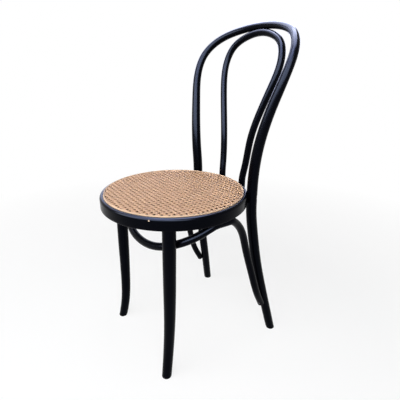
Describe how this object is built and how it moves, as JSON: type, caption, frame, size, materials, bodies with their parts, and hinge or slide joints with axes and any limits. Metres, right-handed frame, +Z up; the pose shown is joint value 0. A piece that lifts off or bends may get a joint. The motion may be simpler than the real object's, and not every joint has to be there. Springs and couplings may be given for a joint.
{
  "type": "bentwood cafe chair",
  "caption": "Black bentwood side chair with a round woven cane seat, a looped back with an inner hoop, and a horseshoe leg brace.",
  "frame": {"origin": "on the floor under the middle of the chair's bounding box", "axes": "+Z up, -Y the front of the chair, +X the sitter's left"},
  "size_m": [0.4, 0.5038, 0.9013],
  "materials": {
    "black_lacquer": "glossy black lacquer on bent beech",
    "cane": "natural woven cane with a light sheen",
    "reed": "natural reed with a light sheen",
    "black_steel": "black painted steel",
    "bare_steel": "zinc plated steel"
  },
  "bodies": {
    "root": {"back_frame": "black_lacquer", "inner_hoop": "black_lacquer", "seat_ring": "black_lacquer", "front_leg_left": "black_lacquer", "front_leg_right": "black_lacquer", "leg_brace": "black_lacquer", "cane_panel": "cane", "cane_spline": "reed", "frame_bolts": "black_steel", "frame_nuts": "bare_steel", "hoop_end_screws": "black_steel", "hoop_top_screw": "black_steel", "brace_rear_screws": "black_steel", "brace_seat_screws": "black_steel", "brace_front_screws": "black_steel"}
  },
  "joints": []
}
